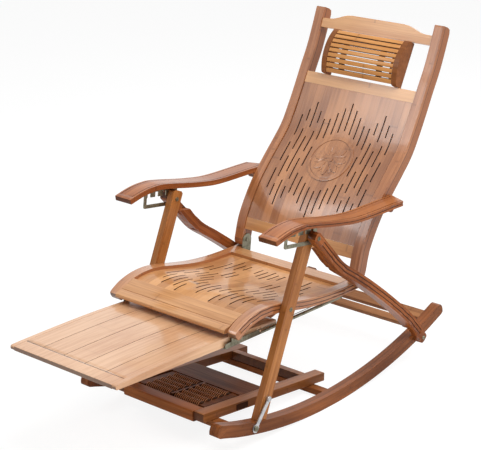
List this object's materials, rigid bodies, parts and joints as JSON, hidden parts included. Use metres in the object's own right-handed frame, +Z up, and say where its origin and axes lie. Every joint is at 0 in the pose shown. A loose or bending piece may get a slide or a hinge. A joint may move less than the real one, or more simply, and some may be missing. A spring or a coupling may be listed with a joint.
{
  "type": "folding rocking chair",
  "caption": "Folding rocking chair in laminated bamboo with a slotted seat and back, headrest, armrests on racks, sliding footboard and foot rollers.",
  "frame": {"origin": "on the floor under the centre of the chair's bounding box", "axes": "+Z up, the sitter faces -Y, +X is the sitter's left"},
  "size_m": [0.6, 1.3834, 1.0304],
  "materials": {
    "light_bamboo": "satin lacquer",
    "post_bamboo": "satin lacquer",
    "panel_bamboo": "satin lacquer",
    "dark_bamboo": "satin lacquer",
    "brown_wood": "satin lacquer",
    "zinc_steel": "zinc plated",
    "bright_steel": "bright plated"
  },
  "bodies": {
    "base": {"rocker_left": "dark_bamboo", "rocker_right": "dark_bamboo", "front_stretcher": "brown_wood", "mid_stretcher": "brown_wood", "rear_slat_inner": "light_bamboo", "rear_slat_outer": "light_bamboo", "latch_stud_left": "zinc_steel", "latch_stud_right": "zinc_steel", "rear_pivot_bolt_left": "zinc_steel", "rear_pivot_bolt_right": "zinc_steel"},
    "rear_legs": {"rear_leg_left": "dark_bamboo", "rear_leg_right": "dark_bamboo", "arm_pin_left": "zinc_steel", "arm_pin_right": "zinc_steel", "seat_rest_rod": "bright_steel"},
    "seat_frame": {"front_leg_left": "dark_bamboo", "front_leg_right": "dark_bamboo", "seat_rail_left": "dark_bamboo", "seat_rail_right": "dark_bamboo", "seat_bolt_left": "zinc_steel", "seat_bolt_right": "zinc_steel", "footboard_guide_left": "zinc_steel", "footboard_guide_right": "zinc_steel", "back_hinge_left": "zinc_steel", "back_hinge_right": "zinc_steel", "seat_panel": "light_bamboo", "seat_front_rail": "light_bamboo", "seat_rear_rail": "dark_bamboo"},
    "back": {"back_post_left": "post_bamboo", "back_post_right": "post_bamboo", "headrest_end_left": "post_bamboo", "headrest_end_right": "post_bamboo", "arm_pivot_bolt_left": "zinc_steel", "arm_pivot_bolt_right": "zinc_steel", "back_bottom_rail": "post_bamboo", "back_mid_rail": "post_bamboo", "back_crest_rail": "post_bamboo", "back_panel": "panel_bamboo", "back_medallion": "panel_bamboo", "headrest_slats": "light_bamboo"},
    "armrests": {"armrest_left": "post_bamboo", "armrest_right": "post_bamboo", "arm_rack_left": "zinc_steel", "arm_rack_right": "zinc_steel"},
    "footboard": {"footboard_rail_left": "light_bamboo", "footboard_rail_right": "light_bamboo", "footboard_panel": "light_bamboo"},
    "roller_frame": {"roller_rail_left": "dark_bamboo", "roller_rail_right": "dark_bamboo", "roller_front_bar": "brown_wood", "roller_mid_bar": "brown_wood", "roller_rear_bar": "dark_bamboo", "roller_tray": "brown_wood"},
    "latch_left": {"latch_strap_left": "bright_steel"},
    "latch_right": {"latch_strap_right": "bright_steel"},
    "roller_1": {"foot_roller_1": "brown_wood"},
    "roller_2": {"foot_roller_2": "brown_wood"},
    "roller_3": {"foot_roller_3": "brown_wood"},
    "roller_4": {"foot_roller_4": "brown_wood"},
    "roller_5": {"foot_roller_5": "brown_wood"}
  },
  "joints": [
    {"name": "fold", "type": "hinge", "parent": "base", "child": "rear_legs", "pos_m": [0, 0.545, 0.08482], "axis": [1, 0, 0], "range_deg": [-12, 0]},
    {"name": "front_leg_fold", "type": "hinge", "parent": "rear_legs", "child": "seat_frame", "pos_m": [0, 0.007, 0.552], "axis": [1, 0, 0], "range_deg": [0, 24]},
    {"name": "recline", "type": "hinge", "parent": "seat_frame", "child": "back", "pos_m": [0, 0.284, 0.36008], "axis": [-1, 0, 0], "range_deg": [0, 30]},
    {"name": "arm_swing", "type": "hinge", "parent": "back", "child": "armrests", "pos_m": [0, 0.37841, 0.54251], "axis": [-1, 0, 0], "range_deg": [-24, 0]},
    {"name": "footboard_slide", "type": "slide", "parent": "seat_frame", "child": "footboard", "axis": [0, 0.9999, -0.012], "range_m": [0, 0.36]},
    {"name": "roller_frame_slide", "type": "slide", "parent": "base", "child": "roller_frame", "axis": [0, -0.994, 0.1093], "range_m": [0, 0.05]},
    {"name": "latch_left_swing", "type": "hinge", "parent": "seat_frame", "child": "latch_left", "pos_m": [0, -0.17258, 0.12549], "axis": [-1, 0, 0], "range_deg": [0, 100]},
    {"name": "latch_right_swing", "type": "hinge", "parent": "seat_frame", "child": "latch_right", "pos_m": [0, -0.17258, 0.12549], "axis": [-1, 0, 0], "range_deg": [0, 100]},
    {"name": "roller_1_spin", "type": "hinge", "parent": "roller_frame", "child": "roller_1", "pos_m": [0, -0.268, 0.08824], "axis": [1, 0, 0], "continuous": true},
    {"name": "roller_2_spin", "type": "hinge", "parent": "roller_frame", "child": "roller_2", "pos_m": [0, -0.24, 0.08516], "axis": [1, 0, 0], "continuous": true},
    {"name": "roller_3_spin", "type": "hinge", "parent": "roller_frame", "child": "roller_3", "pos_m": [0, -0.212, 0.08208], "axis": [1, 0, 0], "continuous": true},
    {"name": "roller_4_spin", "type": "hinge", "parent": "roller_frame", "child": "roller_4", "pos_m": [0, -0.184, 0.079], "axis": [1, 0, 0], "continuous": true},
    {"name": "roller_5_spin", "type": "hinge", "parent": "roller_frame", "child": "roller_5", "pos_m": [0, -0.156, 0.07592], "axis": [1, 0, 0], "continuous": true}
  ],
  "couplings": [
    {"joint": "front_leg_fold", "follows": "fold", "ratio": -2},
    {"joint": "arm_swing", "follows": "recline", "ratio": -0.77}
  ]
}
